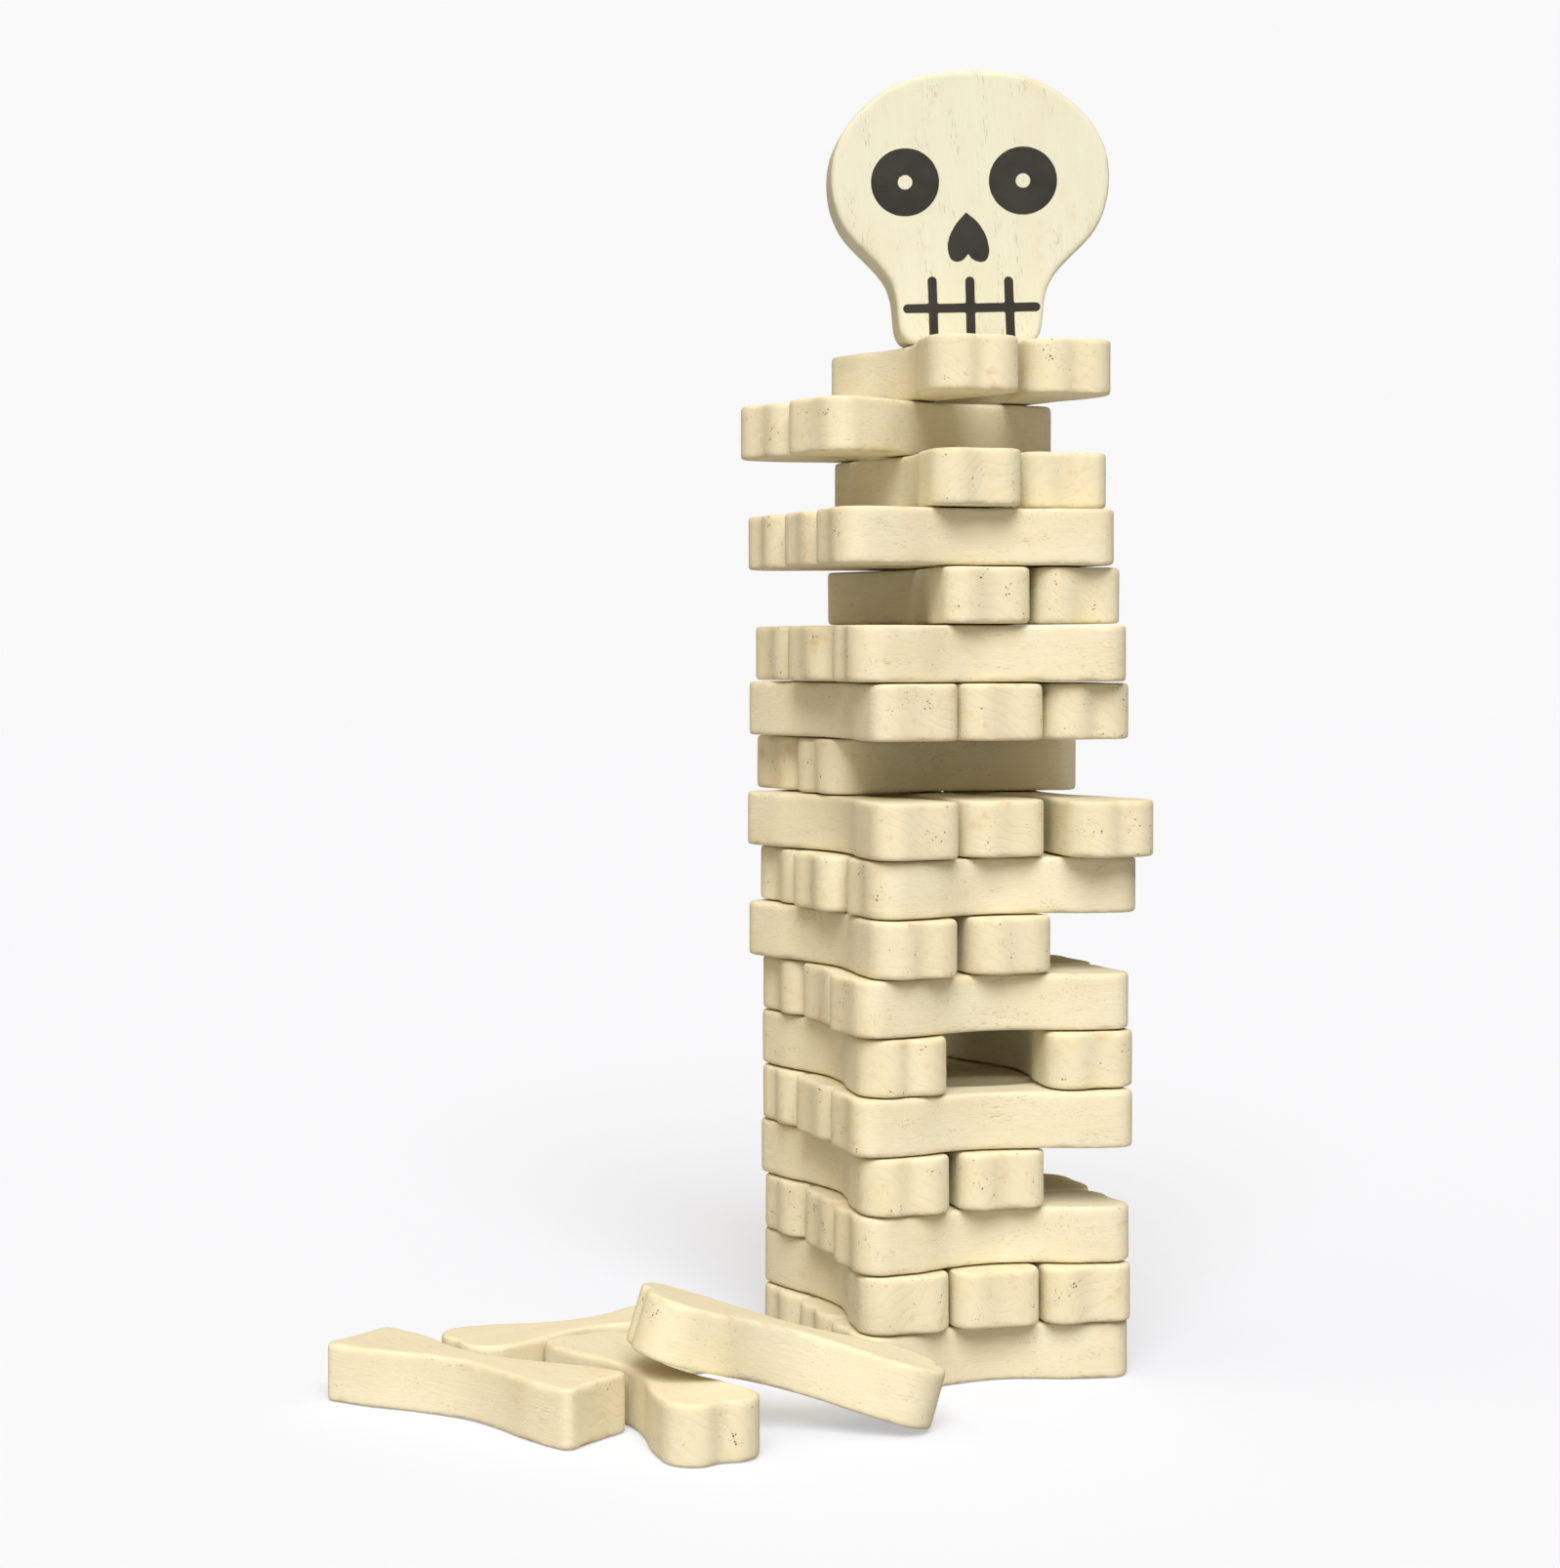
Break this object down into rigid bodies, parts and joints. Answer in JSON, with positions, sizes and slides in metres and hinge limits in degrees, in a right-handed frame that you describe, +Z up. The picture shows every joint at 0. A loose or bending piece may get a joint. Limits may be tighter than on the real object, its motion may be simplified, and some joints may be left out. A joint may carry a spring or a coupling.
{
  "type": "tumbling tower game",
  "caption": "Tabletop stacking game: bone-shaped wooden blocks in crossed courses, each free to slide out, with a flat skull topper and drawn blocks lying beside it.",
  "frame": {"origin": "centre of the tower's footprint, on the ground, on the underside of the middle bone of the lowest course", "axes": "+Z up; +X along the bones of the odd courses, to the right seen from the front; -Y to the front, where the skull faces and the loose bones lie to the left"},
  "size_m": [0.2167, 0.1393, 0.3437],
  "materials": {
    "ivory_wood": "matt ivory stain over fine-grained hardwood, grain and pores showing",
    "skull_wood": "matt ivory paint over wood, with the eyes, nose and teeth printed in matt black"
  },
  "bodies": {
    "course_01_front_bone": {"course_01_front_bone": "ivory_wood"},
    "course_01_middle_bone": {"course_01_middle_bone": "ivory_wood"},
    "course_01_rear_bone": {"course_01_rear_bone": "ivory_wood"},
    "course_02_left_bone": {"course_02_left_bone": "ivory_wood"},
    "course_02_middle_bone": {"course_02_middle_bone": "ivory_wood"},
    "course_02_right_bone": {"course_02_right_bone": "ivory_wood"},
    "course_03_front_bone": {"course_03_front_bone": "ivory_wood"},
    "course_03_middle_bone": {"course_03_middle_bone": "ivory_wood"},
    "course_03_rear_bone": {"course_03_rear_bone": "ivory_wood"},
    "course_04_left_bone": {"course_04_left_bone": "ivory_wood"},
    "course_04_middle_bone": {"course_04_middle_bone": "ivory_wood"},
    "course_05_front_bone": {"course_05_front_bone": "ivory_wood"},
    "course_05_middle_bone": {"course_05_middle_bone": "ivory_wood"},
    "course_05_rear_bone": {"course_05_rear_bone": "ivory_wood"},
    "course_06_left_bone": {"course_06_left_bone": "ivory_wood"},
    "course_06_right_bone": {"course_06_right_bone": "ivory_wood"},
    "course_07_front_bone": {"course_07_front_bone": "ivory_wood"},
    "course_07_middle_bone": {"course_07_middle_bone": "ivory_wood"},
    "course_07_rear_bone": {"course_07_rear_bone": "ivory_wood"},
    "course_08_left_bone": {"course_08_left_bone": "ivory_wood"},
    "course_08_middle_bone": {"course_08_middle_bone": "ivory_wood"},
    "course_09_front_bone": {"course_09_front_bone": "ivory_wood"},
    "course_09_middle_bone": {"course_09_middle_bone": "ivory_wood"},
    "course_09_rear_bone": {"course_09_rear_bone": "ivory_wood"},
    "course_10_left_bone": {"course_10_left_bone": "ivory_wood"},
    "course_10_middle_bone": {"course_10_middle_bone": "ivory_wood"},
    "course_10_right_bone": {"course_10_right_bone": "ivory_wood"},
    "course_11_middle_bone": {"course_11_middle_bone": "ivory_wood"},
    "course_11_rear_bone": {"course_11_rear_bone": "ivory_wood"},
    "course_12_left_bone": {"course_12_left_bone": "ivory_wood"},
    "course_12_middle_bone": {"course_12_middle_bone": "ivory_wood"},
    "course_12_right_bone": {"course_12_right_bone": "ivory_wood"},
    "course_13_front_bone": {"course_13_front_bone": "ivory_wood"},
    "course_13_middle_bone": {"course_13_middle_bone": "ivory_wood"},
    "course_13_rear_bone": {"course_13_rear_bone": "ivory_wood"},
    "course_14_middle_bone": {"course_14_middle_bone": "ivory_wood"},
    "course_14_right_bone": {"course_14_right_bone": "ivory_wood"},
    "course_15_front_bone": {"course_15_front_bone": "ivory_wood"},
    "course_15_middle_bone": {"course_15_middle_bone": "ivory_wood"},
    "course_15_rear_bone": {"course_15_rear_bone": "ivory_wood"},
    "course_16_middle_bone": {"course_16_middle_bone": "ivory_wood"},
    "course_16_right_bone": {"course_16_right_bone": "ivory_wood"},
    "course_17_middle_bone": {"course_17_middle_bone": "ivory_wood"},
    "course_17_rear_bone": {"course_17_rear_bone": "ivory_wood"},
    "course_18_middle_bone": {"course_18_middle_bone": "ivory_wood"},
    "course_18_right_bone": {"course_18_right_bone": "ivory_wood"},
    "skull_topper": {"skull_topper": "skull_wood"},
    "loose_front_bone": {"loose_front_bone": "ivory_wood"},
    "loose_back_bone": {"loose_back_bone": "ivory_wood"},
    "loose_under_bone": {"loose_under_bone": "ivory_wood"},
    "loose_leaning_bone": {"loose_leaning_bone": "ivory_wood"}
  },
  "joints": [
    {"name": "course_01_front_slide", "type": "slide", "parent": "course_01_middle_bone", "child": "course_01_front_bone", "axis": [1, 0, 0], "range_m": [0, 0.085]},
    {"name": "course_01_rear_slide", "type": "slide", "parent": "course_01_middle_bone", "child": "course_01_rear_bone", "axis": [1, 0, 0], "range_m": [0, 0.085]},
    {"name": "course_02_left_slide", "type": "slide", "parent": "course_01_middle_bone", "child": "course_02_left_bone", "axis": [0, 1, 0], "range_m": [0, 0.085]},
    {"name": "course_02_middle_slide", "type": "slide", "parent": "course_01_middle_bone", "child": "course_02_middle_bone", "axis": [0, -1, 0], "range_m": [0, 0.085]},
    {"name": "course_02_right_slide", "type": "slide", "parent": "course_01_middle_bone", "child": "course_02_right_bone", "axis": [0, 1, 0], "range_m": [0, 0.085]},
    {"name": "course_03_front_slide", "type": "slide", "parent": "course_01_middle_bone", "child": "course_03_front_bone", "axis": [1, -0.0087, 0], "range_m": [0, 0.085]},
    {"name": "course_03_middle_slide", "type": "slide", "parent": "course_01_middle_bone", "child": "course_03_middle_bone", "axis": [1, 0, 0], "range_m": [0, 0.085]},
    {"name": "course_03_rear_slide", "type": "slide", "parent": "course_01_middle_bone", "child": "course_03_rear_bone", "axis": [1, 0, 0], "range_m": [0, 0.085]},
    {"name": "course_04_left_slide", "type": "slide", "parent": "course_01_middle_bone", "child": "course_04_left_bone", "axis": [-0.0174, 0.9998, 0], "range_m": [0, 0.085]},
    {"name": "course_04_middle_slide", "type": "slide", "parent": "course_01_middle_bone", "child": "course_04_middle_bone", "axis": [0.0174, -0.9998, 0], "range_m": [0, 0.085]},
    {"name": "course_05_front_slide", "type": "slide", "parent": "course_01_middle_bone", "child": "course_05_front_bone", "axis": [0.999, -0.0436, 0], "range_m": [0, 0.085]},
    {"name": "course_05_middle_slide", "type": "slide", "parent": "course_01_middle_bone", "child": "course_05_middle_bone", "axis": [1, 0, 0], "range_m": [0, 0.085]},
    {"name": "course_05_rear_slide", "type": "slide", "parent": "course_01_middle_bone", "child": "course_05_rear_bone", "axis": [1, 0, 0], "range_m": [0, 0.085]},
    {"name": "course_06_left_slide", "type": "slide", "parent": "course_01_middle_bone", "child": "course_06_left_bone", "axis": [-0.0174, 0.9998, 0], "range_m": [0, 0.085]},
    {"name": "course_06_right_slide", "type": "slide", "parent": "course_01_middle_bone", "child": "course_06_right_bone", "axis": [-0.0174, 0.9998, 0], "range_m": [0, 0.085]},
    {"name": "course_07_front_slide", "type": "slide", "parent": "course_01_middle_bone", "child": "course_07_front_bone", "axis": [0.9998, 0.0174, 0], "range_m": [0, 0.085]},
    {"name": "course_07_middle_slide", "type": "slide", "parent": "course_01_middle_bone", "child": "course_07_middle_bone", "axis": [0.9998, 0.0174, 0], "range_m": [0, 0.085]},
    {"name": "course_07_rear_slide", "type": "slide", "parent": "course_01_middle_bone", "child": "course_07_rear_bone", "axis": [0.9998, 0.0174, 0], "range_m": [0, 0.085]},
    {"name": "course_08_left_slide", "type": "slide", "parent": "course_01_middle_bone", "child": "course_08_left_bone", "axis": [-0.1219, 0.9925, 0], "range_m": [0, 0.085]},
    {"name": "course_08_middle_slide", "type": "slide", "parent": "course_01_middle_bone", "child": "course_08_middle_bone", "axis": [0.0698, -0.9976, 0], "range_m": [0, 0.085]},
    {"name": "course_09_front_slide", "type": "slide", "parent": "course_01_middle_bone", "child": "course_09_front_bone", "axis": [0.9994, 0.0349, 0], "range_m": [0, 0.085]},
    {"name": "course_09_middle_slide", "type": "slide", "parent": "course_01_middle_bone", "child": "course_09_middle_bone", "axis": [0.9994, 0.0349, 0], "range_m": [0, 0.085]},
    {"name": "course_09_rear_slide", "type": "slide", "parent": "course_01_middle_bone", "child": "course_09_rear_bone", "axis": [0.9994, 0.0349, 0], "range_m": [0, 0.085]},
    {"name": "course_10_left_slide", "type": "slide", "parent": "course_01_middle_bone", "child": "course_10_left_bone", "axis": [-0.1219, 0.9925, 0], "range_m": [0, 0.085]},
    {"name": "course_10_middle_slide", "type": "slide", "parent": "course_01_middle_bone", "child": "course_10_middle_bone", "axis": [0.0698, -0.9976, 0], "range_m": [0, 0.085]},
    {"name": "course_10_right_slide", "type": "slide", "parent": "course_01_middle_bone", "child": "course_10_right_bone", "axis": [-0.0872, 0.9962, 0], "range_m": [0, 0.085]},
    {"name": "course_11_middle_slide", "type": "slide", "parent": "course_01_middle_bone", "child": "course_11_middle_bone", "axis": [0.9969, 0.0785, 0], "range_m": [0, 0.085]},
    {"name": "course_11_rear_slide", "type": "slide", "parent": "course_01_middle_bone", "child": "course_11_rear_bone", "axis": [0.9969, 0.0785, 0], "range_m": [0, 0.085]},
    {"name": "course_12_left_slide", "type": "slide", "parent": "course_01_middle_bone", "child": "course_12_left_bone", "axis": [-0.1045, 0.9945, 0], "range_m": [0, 0.085]},
    {"name": "course_12_middle_slide", "type": "slide", "parent": "course_01_middle_bone", "child": "course_12_middle_bone", "axis": [0.0698, -0.9976, 0], "range_m": [0, 0.085]},
    {"name": "course_12_right_slide", "type": "slide", "parent": "course_01_middle_bone", "child": "course_12_right_bone", "axis": [-0.0698, 0.9976, 0], "range_m": [0, 0.085]},
    {"name": "course_13_front_slide", "type": "slide", "parent": "course_01_middle_bone", "child": "course_13_front_bone", "axis": [0.9994, -0.0349, 0], "range_m": [0, 0.085]},
    {"name": "course_13_middle_slide", "type": "slide", "parent": "course_01_middle_bone", "child": "course_13_middle_bone", "axis": [0.9998, 0.0174, 0], "range_m": [0, 0.085]},
    {"name": "course_13_rear_slide", "type": "slide", "parent": "course_01_middle_bone", "child": "course_13_rear_bone", "axis": [0.9998, 0.0174, 0], "range_m": [0, 0.085]},
    {"name": "course_14_middle_slide", "type": "slide", "parent": "course_01_middle_bone", "child": "course_14_middle_bone", "axis": [0.0523, -0.9986, 0], "range_m": [0, 0.085]},
    {"name": "course_14_right_slide", "type": "slide", "parent": "course_01_middle_bone", "child": "course_14_right_bone", "axis": [-0.0523, 0.9986, 0], "range_m": [0, 0.085]},
    {"name": "course_15_front_slide", "type": "slide", "parent": "course_01_middle_bone", "child": "course_15_front_bone", "axis": [0.9994, -0.0349, 0], "range_m": [0, 0.085]},
    {"name": "course_15_middle_slide", "type": "slide", "parent": "course_01_middle_bone", "child": "course_15_middle_bone", "axis": [0.9998, 0.0174, 0], "range_m": [0, 0.085]},
    {"name": "course_15_rear_slide", "type": "slide", "parent": "course_01_middle_bone", "child": "course_15_rear_bone", "axis": [0.9998, 0.0174, 0], "range_m": [0, 0.085]},
    {"name": "course_16_middle_slide", "type": "slide", "parent": "course_01_middle_bone", "child": "course_16_middle_bone", "axis": [-0.0174, -0.9998, 0], "range_m": [0, 0.085]},
    {"name": "course_16_right_slide", "type": "slide", "parent": "course_01_middle_bone", "child": "course_16_right_bone", "axis": [0.0174, 0.9998, 0], "range_m": [0, 0.085]},
    {"name": "course_17_middle_slide", "type": "slide", "parent": "course_01_middle_bone", "child": "course_17_middle_bone", "axis": [0.9613, 0.2756, 0], "range_m": [0, 0.085]},
    {"name": "course_17_rear_slide", "type": "slide", "parent": "course_01_middle_bone", "child": "course_17_rear_bone", "axis": [0.9613, 0.2756, 0], "range_m": [0, 0.085]},
    {"name": "course_18_middle_slide", "type": "slide", "parent": "course_01_middle_bone", "child": "course_18_middle_bone", "axis": [0.0087, -1, 0], "range_m": [0, 0.085]},
    {"name": "course_18_right_slide", "type": "slide", "parent": "course_01_middle_bone", "child": "course_18_right_bone", "axis": [-0.0087, 1, 0], "range_m": [0, 0.085]},
    {"name": "skull_lift", "type": "slide", "parent": "course_01_middle_bone", "child": "skull_topper", "axis": [0, 0, 1], "range_m": [0, 0.1]},
    {"name": "loose_front_lift", "type": "slide", "parent": "course_01_middle_bone", "child": "loose_front_bone", "axis": [0, 0, 1], "range_m": [0, 0.08]},
    {"name": "loose_back_lift", "type": "slide", "parent": "course_01_middle_bone", "child": "loose_back_bone", "axis": [0, 0, 1], "range_m": [0, 0.08]},
    {"name": "loose_under_lift", "type": "slide", "parent": "course_01_middle_bone", "child": "loose_under_bone", "axis": [0, 0, 1], "range_m": [0, 0.08]},
    {"name": "loose_leaning_lift", "type": "slide", "parent": "loose_under_bone", "child": "loose_leaning_bone", "axis": [0, 0, 1], "range_m": [0, 0.08]}
  ]
}
